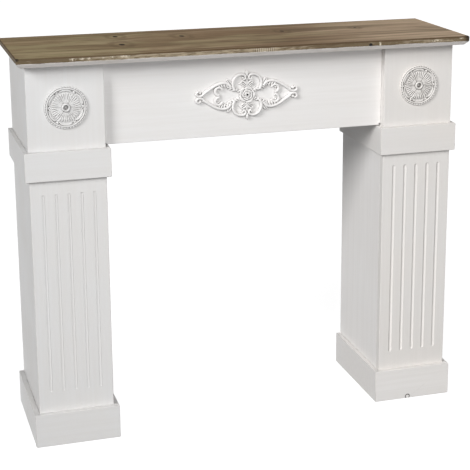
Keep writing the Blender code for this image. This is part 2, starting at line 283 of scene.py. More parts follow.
def grain_field(tree, place, across):
    """The field whose levels the grain follows, and masks of the knots' hearts and their rings."""
    wander = stretched_noise(tree, (0.8, 2.0, 2.0), 2.5, detail=2.0)
    field = maths(tree, "MULTIPLY_ADD", wander, 0.05, across)
    wobble = stretched_noise(tree, EVEN, 70.0, detail=2.0)
    hearts, rings = [], []
    for x, y, radius in KNOTS:
        radii = (KNOT_ALONG * radius, KNOT_ACROSS * radius, 1.0)
        heart, distance = spot(tree, place, (x, y, SHELF_TOP), radii, soft=0.25)
        spread = maths(tree, "DIVIDE", distance, KNOT_SPREAD)
        falling = maths(tree, "MULTIPLY", maths(tree, "MULTIPLY", spread, spread), -1.0)
        hump = maths(tree, "POWER", math.e, falling)
        field = maths(tree, "MULTIPLY_ADD", hump, KNOT_LIFT * radius, field)
        hearts.append(heart)
        uneven = maths(tree, "MULTIPLY", distance, maths(tree, "MULTIPLY_ADD", wobble, 0.8, 0.6))
        off_ring = maths(tree, "ABSOLUTE", maths(tree, "SUBTRACT", uneven, KNOT_RING))
        rings.append(maths(tree, "SUBTRACT", 1.0, step_between(tree, off_ring, 0.3, 1.6)))
    return field, largest(tree, hearts), largest(tree, rings)


def grain_colour(tree, place, along, across, height):
    """The colour of the stained grain, and the noise of its finest lines."""
    field, hearts, rings = grain_field(tree, place, across)
    lines = add_node(tree, "CombineXYZ", {
        0: maths(tree, "MULTIPLY", along, 0.05),
        1: field,
        2: maths(tree, "MULTIPLY", height, 0.6),
    }).outputs[0]
    broad = noise_on(tree, lines, BROAD_GRAIN, 3.0, 0.55)
    fine = noise_on(tree, lines, FINE_GRAIN, 4.0, 0.6)

    drift = stretched_noise(tree, (0.5, 1.4, 1.0), 12.0, detail=3.0)
    redder = maths(tree, "MULTIPLY", step_between(tree, along, -0.45, 0.05), 0.45)
    redder = maths(tree, "MULTIPLY_ADD", step_between(tree, drift, 0.45, 0.55), 0.55, redder)
    colour = mix_colours(tree, redder, PINE_OLIVE, PINE_RED)
    stains = stretched_noise(tree, (0.3, 0.8, 1.0), 26.0, detail=3.0)
    colour = tint(tree, colour, step_between(tree, stains, 0.48, 0.72), 0.30, PINE_DARK)
    paler = maths(tree, "MULTIPLY", step_between(tree, along, 0.08, 0.45), 0.68)
    lit = maths(tree, "MULTIPLY_ADD", step_between(tree, broad, 0.50, 0.72), 0.5, paler)
    colour = mix_colours(tree, lit, colour, PINE_LIGHT)
    dark_band = maths(tree, "SUBTRACT", 1.0, step_between(tree, broad, 0.34, 0.50))
    colour = tint(tree, colour, dark_band, 0.55, PINE_DARK)
    colour = tint(tree, colour, step_between(tree, fine, 0.52, 0.68), 0.45, PINE_DARK)
    colour = tint(tree, colour, rings, 0.35, PINE_DARK)
    return tint(tree, colour, hearts, 0.95, KNOT_HEART), fine


print("grain swings round", len(KNOTS), "knots")

# %% [markdown]
# The edge tells how the shelf was used. A dark line follows the arris. Below it hands have
# rubbed the edge pale in the middle and near the right-hand end, and cream flecks, a nail hole and a
# comb of fine saw marks show. Each mark is given as its place along the edge, its height above the
# floor and its reach. A reach as long as a room leaves that direction out.

# %% Edge of the pine
ARRIS_LINE = screen_colour(78, 60, 40)
EDGE_BROWN = screen_colour(104, 89, 66)
EDGE_PALE = screen_colour(166, 152, 128)
FLECK_CREAM = screen_colour(228, 218, 196)
NAIL_BLACK = screen_colour(14, 12, 10)
ROOM = 10.0
EDGE_FRONT = -0.16
RUBBED_MIDDLE, RUBBED_RIGHT = (-0.13, 0.26), (0.45, 0.07)
FLECKS = (
    (-0.424, 0.9435, 0.006, 0.003),
    (-0.403, 0.9440, 0.005, 0.002),
    (-0.388, 0.9440, 0.004, 0.002),
    (-0.358, 0.9440, 0.006, 0.0015),
    (-0.335, 0.9445, 0.006, 0.0015),
    (-0.306, 0.9450, 0.010, 0.003),
    (0.3155, 0.9425, 0.0022, 0.008),
    (0.462, 0.9425, 0.012, 0.002),
    (0.528, 0.9460, 0.005, 0.002),
)
NAIL = (0.291, 0.9405, 0.0044, 0.0044)
COMB, COMB_PITCH = (0.026, 0.024), 0.0045


def stretch_of_edge(tree, place, middle_and_reach, soft):
    """1 along a stretch of the edge, whatever the height."""
    middle, reach = middle_and_reach
    return spot(tree, place, (middle, 0.0, 0.0), (reach, ROOM, ROOM), soft)[0]


def mark_on_edge(tree, place, mark, soft):
    x, z, reach, tall = mark
    return spot(tree, place, (x, EDGE_FRONT, z), (reach, 1.0, tall), soft)[0]


def edge_colour(tree, place, along, fine):
    """The colour of the rubbed edge, with its flecks, its nail hole and the comb of saw marks."""
    mottle = stretched_noise(tree, (0.45, 1.0, 2.5), 100.0, detail=5.0, roughness=0.65)
    middle = stretch_of_edge(tree, place, RUBBED_MIDDLE, 0.3)
    right_end = stretch_of_edge(tree, place, RUBBED_RIGHT, 0.4)
    zones = maths(tree, "MAXIMUM", middle, maths(tree, "MULTIPLY", right_end, 0.6))
    mottle = maths(tree, "MULTIPLY_ADD", mottle, 2.8, -1.4)
    rubbed = maths(tree, "MULTIPLY_ADD", zones, 0.55, mottle)
    colour = mix_colours(tree, step_between(tree, rubbed, 0.0, 0.9), EDGE_BROWN, EDGE_PALE)
    colour = tint(tree, colour, step_between(tree, fine, 0.52, 0.66), 0.35, ARRIS_LINE)

    teeth = maths(tree, "SINE", maths(tree, "MULTIPLY", along, math.tau / COMB_PITCH))
    comb = stretch_of_edge(tree, place, COMB, 0.2)
    light_tooth = maths(tree, "MULTIPLY", comb, step_between(tree, teeth, 0.0, 0.7))
    dark_tooth = maths(tree, "MULTIPLY", comb, step_between(tree, teeth, 0.0, -0.7))
    colour = tint(tree, colour, light_tooth, 0.5, FLECK_CREAM)
    colour = tint(tree, colour, dark_tooth, 0.4, ARRIS_LINE)

    flecks = largest(tree, [mark_on_edge(tree, place, fleck, 0.7) for fleck in FLECKS])
    ragged = step_between(tree, stretched_noise(tree, EVEN, 260.0, detail=3.0), 0.38, 0.58)
    colour = tint(tree, colour, maths(tree, "MULTIPLY", flecks, ragged), 0.8, FLECK_CREAM)
    return mix_colours(tree, mark_on_edge(tree, place, NAIL, 0.2), colour, NAIL_BLACK)


print("edge has", len(FLECKS), "flecks")

# %% [markdown]
# The board is then dressed by height: grain on top, the rubbed edge below the line of the arris, and
# on the chamfer the worn white paint that was left there. That white is lighter than the boards'
# white, as painted light for the shaded chamfer. Each border is ragged, as a brush leaves it. Two
# front corners are bruised dark.

# %% Stained pine
WORN_WHITE_WITH_PAINTED_LIGHT = screen_colour(249, 243, 239)
TOP_SKIN = 0.0004
RAGGED_REACH = 0.004
STAIN_LINE = 0.9466
PAINT_LINE = 0.9378
BACK_RIM, FRONT_RIM = (0.150, 0.158), (-0.161, -0.152)
DARK_CORNERS = (
    ((0.548, -0.160, 0.945), (0.009, 0.012, 0.010)),
    ((-0.548, -0.159, 0.948), (0.004, 0.008, 0.004)),
)


def stained_pine(name):
    material, tree, shader = new_material(name)
    place = object_place(tree)
    along, across, height = add_node(tree, "SeparateXYZ", {0: place}).outputs
    colour, fine = grain_colour(tree, place, along, across, height)

    ragged = stretched_noise(tree, (0.6, 1.0, 1.0), 45.0, detail=5.0, roughness=0.7)
    border = maths(tree, "MULTIPLY_ADD", ragged, RAGGED_REACH, height)
    below_top = maths(tree, "LESS_THAN", height, SHELF_TOP - TOP_SKIN)
    back_line = step_between(tree, across, *BACK_RIM)
    front_line = maths(tree, "SUBTRACT", 1.0, step_between(tree, across, *FRONT_RIM))
    rims = maths(tree, "MULTIPLY", maths(tree, "MAXIMUM", back_line, front_line), 0.45)
    colour = tint(tree, colour, maths(tree, "MAXIMUM", below_top, rims), 0.9, ARRIS_LINE)

    below_stain = maths(tree, "LESS_THAN", border, STAIN_LINE + RAGGED_REACH / 2)
    colour = mix_colours(tree, below_stain, colour, edge_colour(tree, place, along, fine))
    smudges = stretched_noise(tree, (0.25, 1.0, 1.0), 30.0, detail=5.0, roughness=0.65)
    smudges = step_between(tree, smudges, 0.48, 0.70)
    # The chamfer's white is lighter than the boards' white, as painted light for the shaded chamfer.
    worn_paint_with_painted_light = tint(tree, WORN_WHITE_WITH_PAINTED_LIGHT, smudges, 0.25, EDGE_PALE)
    painted = maths(tree, "LESS_THAN", border, PAINT_LINE + RAGGED_REACH / 2)
    colour = mix_colours(tree, painted, colour, worn_paint_with_painted_light)
    corners = [spot(tree, place, centre, radii)[0] for centre, radii in DARK_CORNERS]
    colour = tint(tree, colour, largest(tree, corners), 0.85, KNOT_HEART)
    tree.links.new(colour, shader.inputs["Base Color"])

    gloss = maths(tree, "MULTIPLY_ADD", fine, 0.25, 0.55)
    tree.links.new(gloss, shader.inputs["Roughness"])
    shader.inputs["Specular IOR Level"].default_value = 0.25
    add_bump(tree, shader, fine, 0.0002, 0.6)
    return material


pine = stained_pine("stained pine")
print(pine.name, "ready")

# %% [markdown]
# ## Helpers for pieces
#
# Each new piece is modelled in a bmesh and made an object at the origin. It rides on the only body,
# takes its material and says which node it stands for. Boards start as a copy of their node: the
# loose triangles are merged, and the flat faces become whole again, so that an edge can be eased.

# %% Piece helpers
SAME_PLACE = 0.00001
SHARP_ANGLE = math.radians(20)
EASE_SEGMENTS = 4
PAINTED_SHADE_SMOOTHING = (0.5, 12)


def new_mesh(name, bm):
    """Turns a bmesh into a mesh and frees it."""
    mesh = bpy.data.meshes.new(name)
    bm.to_mesh(mesh)
    bm.free()
    return mesh


def add_object(name, data):
    obj = bpy.data.objects.new(name, data)
    bpy.context.scene.collection.objects.link(obj)
    return obj


def discard(obj):
    mesh = obj.data
    bpy.data.objects.remove(obj)
    bpy.data.meshes.remove(mesh)


def with_modifiers(obj):
    """The object's mesh as its modifiers leave it, as a bmesh."""
    bpy.context.view_layer.update()
    depsgraph = bpy.context.evaluated_depsgraph_get()
    result = bmesh.new()
    result.from_mesh(obj.evaluated_get(depsgraph).to_mesh())
    return result


def float_layer(bm, name):
    """The named attribute of the points, made anew if it isn't there yet."""
    return bm.verts.layers.float.get(name) or bm.verts.layers.float.new(name)


def finish_piece(bm, name, material, slot, *replaced):
    """Makes the bmesh a piece of the object, which stands for the replaced nodes."""
    mesh = new_mesh(name, bm)
    mesh.materials.append(material)
    piece = add_object(name, mesh)
    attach(piece, "root")
    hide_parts(*replaced)
    triangles = sum(len(face.vertices) - 2 for face in mesh.polygons)
    print(name, "has", triangles, "triangles")


def copy_of_node(name):
    """The node's mesh as a bmesh of merged, whole, flat faces."""
    bm = bmesh.new()
    bm.from_mesh(nodes[name].data)
    bmesh.ops.transform(bm, matrix=nodes[name].matrix_world, verts=bm.verts)
    bmesh.ops.remove_doubles(bm, verts=bm.verts, dist=SAME_PLACE)
    bmesh.ops.dissolve_limit(bm, angle_limit=math.radians(1), verts=bm.verts, edges=bm.edges)
    for face in bm.faces:
        face.smooth = False
    return bm


def ease_edges(bm, width, edges=None, wear=1.0):
    """Rounds edges, shades the roundings smooth and marks their middles as worn."""
    edges = edges or [edge for edge in bm.edges if edge.calc_face_angle(0) > SHARP_ANGLE]
    worn = float_layer(bm, "worn")
    before = set(bm.faces)
    result = bmesh.ops.bevel(
        bm, geom=edges, offset=width, offset_type="OFFSET", affect="EDGES",
        segments=EASE_SEGMENTS, profile=0.5, material=-1,
    )
    rounded = set(result["faces"]) - before
    for face in rounded:
        face.smooth = True
    for vert in bm.verts:
        if vert.link_faces and all(face in rounded for face in vert.link_faces):
            vert[worn] = wear
    return bm


def smooth(bm, factor, times):
    for _ in range(times):
        bmesh.ops.smooth_vert(
            bm, verts=bm.verts, factor=factor, use_axis_x=True, use_axis_y=True, use_axis_z=True
        )


def mark_painted_shade(bm, depth):
    """Painted shade, from 0 to 1: how far each point lies below its smoothed surroundings."""
    painted_shade = float_layer(bm, "painted_shade")
    bm.normal_update()
    smoothed = bm.copy()
    smooth(smoothed, *PAINTED_SHADE_SMOOTHING)
    for vert, above in zip(bm.verts, smoothed.verts):
        lift = (above.co - vert.co).dot(vert.normal)
        vert[painted_shade] = min(1.0, max(0.0, lift / depth))
    smoothed.free()


def cut_away(bm, cutter_bm):
    """The bmesh less the cutter, worked out by a Boolean that is then applied."""
    blank = add_object("blank", new_mesh("blank", bm))
    cutter = add_object("cutter", new_mesh("cutter", cutter_bm))
    cut = blank.modifiers.new("cut", "BOOLEAN")
    cut.operation = "DIFFERENCE"
    cut.solver = "EXACT"
    cut.object = cutter
    result = with_modifiers(blank)
    discard(blank)
    discard(cutter)
    return result


print("piece helpers ready")

# %% [markdown]
# ## Plain boards
#
# The sides and backs of the legs, the frieze and the strips of the collars and plinths are sawn
# boards. Their arrises were eased with sandpaper and then filled with paint, so each edge catches a
# thin line of light. A small bevel with four segments gives that line.
#
# Two small faults belong to this piece. The frieze is a little short at its lower corners, which
# leaves a dark open joint beside each leg, and the right-hand plinth has an arched nick at the floor.
# Both are cut as shallow recesses, and their insides are greyed as painted shade.

# %% Plain boards
BOARD_EASE = 0.0012
UPRIGHT_BOARDS = ("leg_outer_side", "leg_inner_side", "leg_back")
BAND_STRIPS = ("front", "outer", "inner")
OPEN_JOINT = Vector((0.0045, 0.009, 0.0050))
NICK_X = 0.4245
NICK_HEIGHT = 0.0048
NICK_RADIUS = 0.0056
NICK_DEPTH = 0.0014
HAIR = 0.0001
JOINT_PAINTED_SHADE_FROM, NICK_PAINTED_SHADE_FROM = 0.002, 0.0003


def make_board(node, material):
    bm = ease_edges(copy_of_node(node), BOARD_EASE)
    finish_piece(bm, f"{node}_painted", material, "paint", node)


def recess(bm, cutter, inside):
    """Cuts a recess and greys, as painted shade, the points for which inside is true."""
    bm = cut_away(bm, cutter)
    painted_shade = float_layer(bm, "painted_shade")
    for vert in bm.verts:
        vert[painted_shade] = 1.0 if inside(vert.co) else 0.0
    return bm


def make_frieze():
    """The frieze, with an open joint cut at each lower corner."""
    low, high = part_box("frieze_board")
    cutter = bmesh.new()
    for end in (low.x, high.x):
        stretch = Matrix.Translation((end, low.y, low.z)) @ Matrix.Diagonal((*(2 * OPEN_JOINT), 1))
        bmesh.ops.create_cube(cutter, size=1.0, matrix=stretch)

    # Points inside the open joint are greyed as painted shade.
    def in_joint(place):
        return (
            min(place.x - low.x, high.x - place.x) < OPEN_JOINT.x + HAIR
            and place.z < low.z + OPEN_JOINT.z + HAIR
            and low.y + JOINT_PAINTED_SHADE_FROM < place.y < low.y + OPEN_JOINT.y + HAIR
        )

    bm = recess(ease_edges(copy_of_node("frieze_board"), BOARD_EASE), cutter, in_joint)
    finish_piece(bm, "frieze_board_painted", level_paint_with_painted_light, "paint", "frieze_board")


def make_nicked_plinth():
    """The right-hand plinth's front, with an arched groove that a round tube leaves."""
    node = "right_plinth_front"
    low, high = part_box(node)
    cutter = bmesh.new()
    middle = Vector((NICK_X, low.y, NICK_HEIGHT))
    start = Matrix.Translation(middle + Vector((NICK_RADIUS, 0, 0)))
    tube = bmesh.ops.create_circle(cutter, segments=12, radius=NICK_DEPTH, matrix=start)["verts"]
    bmesh.ops.spin(
        cutter, geom=tube + list(cutter.edges), cent=middle, axis=(0, 1, 0), angle=math.tau,
        steps=48, use_merge=True,
    )
    bmesh.ops.recalc_face_normals(cutter, faces=cutter.faces)
    reach = 1.1 * NICK_DEPTH

    # Points inside the groove are greyed as painted shade.
    def in_nick(place):
        from_groove = abs((place - middle).length - NICK_RADIUS)
        return low.y + NICK_PAINTED_SHADE_FROM < place.y < low.y + reach and from_groove < reach

    bm = recess(ease_edges(copy_of_node(node), BOARD_EASE), cutter, in_nick)
    finish_piece(bm, f"{node}_painted", level_paint_with_painted_light, "paint", node)


# The inner sides, the right-hand plinth and the frieze take the whitened paints, as painted light.
for side in ("left", "right"):
    for board in UPRIGHT_BOARDS:
        paint = upright_paint_with_painted_light if board == "leg_inner_side" else upright_paint
        make_board(f"{side}_{board}", paint)
    for strip in BAND_STRIPS:
        make_board(f"{side}_collar_{strip}", level_paint)
for strip in BAND_STRIPS:
    make_board(f"left_plinth_{strip}", level_paint)
for strip in ("outer", "inner"):
    make_board(f"right_plinth_{strip}", level_paint_with_painted_light)
make_nicked_plinth()
make_frieze()

# %% [markdown]
# ## Fluted boards
#
# A round-nosed router cut the five flutes in each front board. The cutter leaves a groove with a
# round bottom and round ends, which is what a capsule leaves when it is taken away from the board.
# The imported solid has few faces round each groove, so the board is made again from its box, with
# finer capsules. Paint fills the left-hand leg's flutes more, so they are shallower. The lips of the
# grooves are softened last, because paint rounds a sharp lip.

# %% Fluted boards
FLUTE_COUNT = 5
FLUTE_WIDTH = 0.0080
FLUTE_DEPTHS = {"left": 0.0011, "right": 0.0024}
FLUTE_FOOT = 0.130
FLUTE_HEAD = 0.627
LIP_EASE = 0.0005
LIP_ANGLE = math.radians(15)
EASED_RIM = 0.01


def flute_capsules(low, high, depth):
    """Capsules lying partly in front of the board's face, one for each flute."""
    radius = (FLUTE_WIDTH**2 / 4 + depth**2) / (2 * depth)
    reach = (FLUTE_HEAD - FLUTE_FOOT) / 2 - radius
    pitch = (high.x - low.x) / (FLUTE_COUNT + 1)
    bm = bmesh.new()
    for index in range(FLUTE_COUNT):
        capsule = bmesh.ops.create_uvsphere(bm, u_segments=40, v_segments=19, radius=radius)
        for vert in capsule["verts"]:
            vert.co.z += math.copysign(reach, vert.co.z)
        along = low.x + pitch * (index + 1)
        place = (along, low.y + depth - radius, (FLUTE_FOOT + FLUTE_HEAD) / 2)
        bmesh.ops.translate(bm, verts=capsule["verts"], vec=place)
    for face in bm.faces:
        face.smooth = True
    return bm


def make_fluted_board(side):
    node = f"{side}_leg_front"
    low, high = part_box(node)
    size, middle = high - low, (high + low) / 2
    bm = bmesh.new()
    stretch = Matrix.Translation(middle) @ Matrix.Diagonal((*size, 1.0))
    bmesh.ops.create_cube(bm, size=1.0, matrix=stretch)
    ease_edges(bm, BOARD_EASE)
    bm = cut_away(bm, flute_capsules(low, high, FLUTE_DEPTHS[side]))
    worn = bm.verts.layers.float["worn"]
    for vert in bm.verts:
        if low.x + EASED_RIM < vert.co.x < high.x - EASED_RIM:
            vert[worn] = 0.0
    lips = [
        edge for edge in bm.edges
        if all(abs(vert.co.y - low.y) < SAME_PLACE for vert in edge.verts)
        and edge.calc_face_angle(0) > LIP_ANGLE
    ]
    ease_edges(bm, LIP_EASE, lips, wear=0.0)
    finish_piece(bm, f"{node}_painted", upright_paint, "paint", node)


for side in ("left", "right"):
    make_fluted_board(side)

# %% [markdown]
# ## The shelf
#
# The shelf is one pine board with a chamfer under its front and ends. Years of dusting rounded its
# upper arris. It takes the pine material over the whole board, because the material itself knows
# where the stain ends and the worn paint begins.

# %% Shelf
SHELF_EASE = 0.0011


def make_shelf():
    bm = ease_edges(copy_of_node("shelf_board"), SHELF_EASE)
    finish_piece(bm, "shelf_board_stained", pine, "stained_wood", "shelf_board")


make_shelf()

# %% [markdown]
# ## Rosettes
#
# Each rosette was cast from a carved pattern: a plain rim, a ring of pearls, six hollow petals with
# rolled lips and engraved veins, a narrow leaf with three drilled holes in each gap, and a button
# with a deep cup in the middle. A lathe and then a carver would make it in that order, and so does
# the script: it spins a plain disc with many rings, and then lifts or lowers every point by a carving
# depth that depends on how far out it lies and at what angle. All heights are shares of the relief.

# %% Carving of a petal
PETALS = 6
PETAL_FOOT, PETAL_LENGTH = 0.19, 0.645
PETAL_SWIRL = 0.06
PETAL_WAVES, PETAL_WAVE = 9, 0.035
PETAL_FULLNESS = 0.495
VEINS = 6
VEIN_DEPTH, PRICK_DEPTH = 0.34, 0.45
RIB_HEIGHT, RIB_WIDTH = 0.14, 0.030
HAND_SCALE, HAND_STRENGTH = 7, 0.9


def bell(value, width):
    """1 at zero, falling smoothly to nothing at about two widths away."""
    return math.exp(-((value / width) ** 2))


def rise(value, low, high):
    share = min(1.0, max(0.0, (value - low) / (high - low)))
    return share * share * (3 - 2 * share)


def angle_from(angle, pitch, first):
    """The signed angle to the nearest of evenly spaced directions."""
    return (angle - first + pitch / 2) % pitch - pitch / 2


def uneven_hand(share, angle):
    """How hard the carver pressed here, about 1."""
    reach = HAND_SCALE * share
    place = Vector((reach * math.cos(angle), reach * math.sin(angle), 0))
    return 1 + HAND_STRENGTH * noise.noise(place)


def petal_height(share, angle):
    """The height of a petal over the ground at a share of the rosette's radius."""
    pitch = math.tau / PETALS
    along = (share - PETAL_FOOT) / PETAL_LENGTH
    if not 0 < along < 1:
        return 0.0
    off = angle_from(angle + PETAL_SWIRL * math.sin(along * math.pi), pitch, math.pi / 2)
    lobes = 1 + PETAL_WAVE * math.cos(PETAL_WAVES * along * math.pi)
    outline = PETAL_FULLNESS * pitch * math.sin(math.pi * along**0.9) ** 0.20 * lobes
    across = abs(off) / max(outline, 1e-6)
    if across >= 1:
        return 0.0
    lip = 0.10 * bell(across - 0.84, 0.09) + 0.08 * bell(along - 0.92, 0.05)
    dish = 0.30 + 0.10 * math.sin(math.pi * (0.1 + 0.8 * along))
    ripple = math.cos(math.tau * VEINS * off / pitch)
    vein = (0.5 + 0.5 * ripple) ** 2 * rise(along, 0.12, 0.40) * (1 - rise(along, 0.84, 0.94))
    pricks = (0.5 - 0.5 * ripple) ** 2 * bell(along - 0.80, 0.07)
    rib = RIB_HEIGHT * bell(off, RIB_WIDTH) * (1 - rise(along, 0.5, 0.8))
    cuts = uneven_hand(share, angle) * (VEIN_DEPTH * vein + PRICK_DEPTH * pricks)
    return (dish + lip + rib - cuts) * (1 - across**14)


print("each petal has", VEINS, "veins")

# %% [markdown]
# The rest of the face is set round the petals, from the gaps outwards to the ring of pearls and the
# rim, and then inwards to the button and its cup.

# %% Carving of the face
GROUND = 0.26
PETAL_RELIEF = 0.70
LEAF_HEIGHT = 0.26
HOLES = ((-0.12, 0.79, 0.024), (0.12, 0.80, 0.024), (0.0, 0.74, 0.018))
HOLE_DEPTH = 0.70
RING_AT, RING_REACH, RING_HEIGHT = 0.886, 0.036, 0.46
PEARLS = 46
PEARLS_AT, PEARLS_REACH, PEARLS_HEIGHT = 0.961, 0.035, 0.42
RIM_AT = 0.996
BUTTON_AT, BUTTON_REACH, BUTTON_HEIGHT = 0.155, 0.055, 0.70
CUP_FLOOR_END, CUP_WALL_END = 0.098, 0.118


def rosette_height(share, angle, relief):
    """The carved height of the rosette's face at a share of its radius and an angle."""
    height = GROUND + PETAL_RELIEF * petal_height(share, angle)

    off_gap = angle_from(angle, math.tau / PETALS, 0.0)
    leaf = bell(off_gap, 0.04 + 0.06 * (0.86 - share)) * rise(share, 0.40, 0.60)
    height = max(height, GROUND + LEAF_HEIGHT * leaf * (1 - rise(share, 0.82, 0.86)))
    for turn, place, width in HOLES:
        hole = math.hypot(share - place, share * (off_gap - turn))
        height -= HOLE_DEPTH * bell(hole, width)

    ring = (share - RING_AT) / RING_REACH
    if abs(ring) < 1:
        height = GROUND + RING_HEIGHT * math.sqrt(1 - ring**4)
    pearls = (share - PEARLS_AT) / PEARLS_REACH
    if abs(pearls) < 1:
        pearl = (0.5 + 0.5 * math.cos(PEARLS * angle)) ** 0.5
        height = GROUND + PEARLS_HEIGHT * math.sqrt(1 - pearls**2) * (0.45 + 0.55 * pearl)
    if share > RIM_AT:
        height = 0.6 * GROUND

    button = (share - BUTTON_AT) / BUTTON_REACH
    if abs(button) < 1:
        height = max(height, GROUND + BUTTON_HEIGHT * math.sqrt(1 - button**2))
    cup = 1 - rise(share, CUP_FLOOR_END, CUP_WALL_END)
    height = height * (1 - cup) + cup * (0.02 + 0.22 * bell(share, 0.034))
    return relief * max(0.02, min(height, 1.0))


print("face with", PEARLS, "pearls")

# %% [markdown]
# Last, each disc is spun, carved and hung on its block. Painted shade greys the recesses and a ring
# round the floor of the cup, and more of it is painted on the right-hand rosette.

# %% Rosettes
ROSETTE_RINGS = 96
ROSETTE_STEPS = 400
ROSETTE_PAINTED_SHADE_DEPTHS = {"left": 0.0008, "right": 0.0003}
CUP_RING = 0.068
CUP_PAINTED_SHADE = 0.8


def spin_disc(radius, height, rings, steps, same_place):
    """A disc with many rings on its face, spun round the upright axis."""
    bm = bmesh.new()
    face = [(radius * ring / rings, height) for ring in range(rings, -1, -1)]
    verts = [bm.verts.new((out, 0, up)) for out, up in [(0, 0), (radius, 0), *face]]
    edges = [bm.edges.new(pair) for pair in zip(verts, verts[1:])]
    bmesh.ops.spin(
        bm, geom=verts + edges, cent=(0, 0, 0), axis=(0, 0, 1), angle=math.tau,
        steps=steps, use_merge=True,
    )
    bmesh.ops.remove_doubles(bm, verts=bm.verts, dist=same_place)
    return bm


def hang(bm, low, high, scale=(1, 1, 1)):
    """Turns a carving upright, with its back on the back of the box from low to high."""
    middle = (low + high) / 2
    place = Matrix.Translation((middle.x, high.y, middle.z))
    place = place @ Matrix.Rotation(math.radians(90), 4, "X") @ Matrix.Diagonal((*scale, 1.0))
    bmesh.ops.transform(bm, matrix=place, verts=bm.verts)


def make_rosette(side):
    node = f"{side}_rosette"
    low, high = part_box(node)
    radius, relief = (high.x - low.x) / 2, high.y - low.y
    bm = spin_disc(radius, relief / 2, ROSETTE_RINGS, ROSETTE_STEPS, SAME_PLACE / 10)
    for vert in bm.verts:
        if vert.co.z > 0:
            share = vert.co.xy.length / radius
            vert.co.z = rosette_height(share, math.atan2(vert.co.y, vert.co.x), relief)
    bmesh.ops.recalc_face_normals(bm, faces=bm.faces)
    for face in bm.faces:
        face.smooth = True
    # Painted shade: the recesses, and a ring round the floor of the cup, are greyed.
    mark_painted_shade(bm, ROSETTE_PAINTED_SHADE_DEPTHS[side])
    painted_shade = float_layer(bm, "painted_shade")
    for vert in bm.verts:
        in_cup = bell(vert.co.xy.length / radius - CUP_RING, CUP_RING / 2)
        vert[painted_shade] = max(vert[painted_shade], CUP_PAINTED_SHADE * in_cup)
    hang(bm, low, high)
    finish_piece(bm, f"{node}_carved", carving_paint, "carving_paint", node)


for side in ("left", "right"):
    make_rosette(side)

# %% [markdown]
# ## The frieze ornament
#
# The ornament is a pierced casting of scrolls and leaves round a rose. It repeats itself to the
# left and to the right and, nearly, above and below, so one quarter is modelled and turned over.
# Each scroll is a rounded band swept along a curve, and each leaf is a dome with a rib. They overlap
# freely, and a voxel remesh then fuses them, as plaster would fill the joints of a pattern. The
# curves are drawn in millimetres from the middle of the rose, and each ball is given as its place,
# its radius and its height.

# %% Drawing of the ornament
BAND_WIDTH = 7.4
SIDE_ARC = ((110, 7), (101, 13), (90, 20), (79, 26.5), (67, 30.5), (55, 31), (46, 27), (41, 20))
TIP_CURL = ((106, 9.5), (112, 4), (120, 2.5), (126, 6.5), (125, 12), (119.5, 14))
TIP_BALL = ((116.5, 11), 4.2, 7.8)
CROWN_SCROLL = (
    (31, 12), (35.5, 23), (35, 34), (29, 44), (19, 49.3), (9, 49), (4.2, 44), (6, 38.5), (11, 38.5)
)
CROWN_BALL = ((10.2, 41.6), 3.0, 8.4)
LEAF_SPINE = ((12, 7), (25, 12), (37, 16), (48, 21.5), (54, 27))
LEAF_LUMPS = 7
CURL_MIDDLE = (70.5, 12)
CURL_RADIUS = 9.0
CURL_BALL = ((72.5, 14.5), 2.6, 6.0)
CALYX_LEAF = ((2, 17), (7, 23), (14, 27), (21, 27))
CALYX_CURL = ((1.5, 26), (6, 31), (12, 33.5), (15, 30.5), (12, 28.5))


def smooth_curve(points, steps=10):
    """Points along a Catmull-Rom curve through the given ones."""
    points = [Vector((*point, 0)) for point in points]
    ends = [2 * points[0] - points[1], *points, 2 * points[-1] - points[-2]]
    path = []
    for before, start, end, after in zip(ends, ends[1:], ends[2:], ends[3:]):
        for step in range(steps):
            t = step / steps
            path.append(0.5 * (
                2 * start
                + (end - before) * t
                + (2 * before - 5 * start + 4 * end - after) * t**2
                + (3 * start - before - 3 * end + after) * t**3
            ))
    return [*path, points[-1]]


def arc_curve(centre, radius, first, last, steps=20):
    path = []
    for step in range(steps + 1):
        angle = math.radians(first + (last - first) * step / steps)
        out, up = radius * math.cos(angle), radius * math.sin(angle)
        path.append(Vector((centre[0] + out, centre[1] + up, 0)))
    return path


print("the side arc is drawn through", len(SIDE_ARC), "points")

# %% [markdown]
# A band has a flat foot and a round back. Its rings are cross-sections, bridged one to the next. A
# leaf is made in the same way, with a width that swells and shrinks and a groove down its middle.

# %% Bands and leaves
SECTION_POINTS = 9
SHOULDER, CROWN = 0.58, 0.42


def sweep(bm, path, half_widths, section):
    """Bridges cross-sections along a path. The section gives a height at each place across."""
    last = len(path) - 1
    rings = []
    for index, point in enumerate(path):
        heading = path[min(index + 1, last)] - path[max(index - 1, 0)]
        across = Vector((-heading.y, heading.x, 0)).normalized()
        share = index / last
        verts = [bm.verts.new(point + across * half_widths(share))]
        for place in range(SECTION_POINTS):
            sideways = 1 - 2 * place / (SECTION_POINTS - 1)
            rim = math.copysign(abs(sideways) ** 0.7, sideways) * 0.98
            level = Vector((0, 0, section(share, rim)))
            verts.append(bm.verts.new(point + across * rim * half_widths(share) + level))
        verts.append(bm.verts.new(point - across * half_widths(share)))
        rings.append([bm.edges.new((verts[i - 1], verts[i])) for i in range(len(verts))])
    for near, far in zip(rings, rings[1:]):
        bmesh.ops.bridge_loops(bm, edges=near + far)
    bmesh.ops.holes_fill(bm, edges=rings[0] + rings[-1])


def add_band(bm, path, widths, heights):
    def half_width(share):
        return (widths[0] + (widths[1] - widths[0]) * share) / 2

    def section(share, rim):
        height = heights[0] + (heights[1] - heights[0]) * share
        return height * (SHOULDER + CROWN * math.sqrt(max(0.0, 1 - rim * rim)))

    sweep(bm, path, half_width, section)


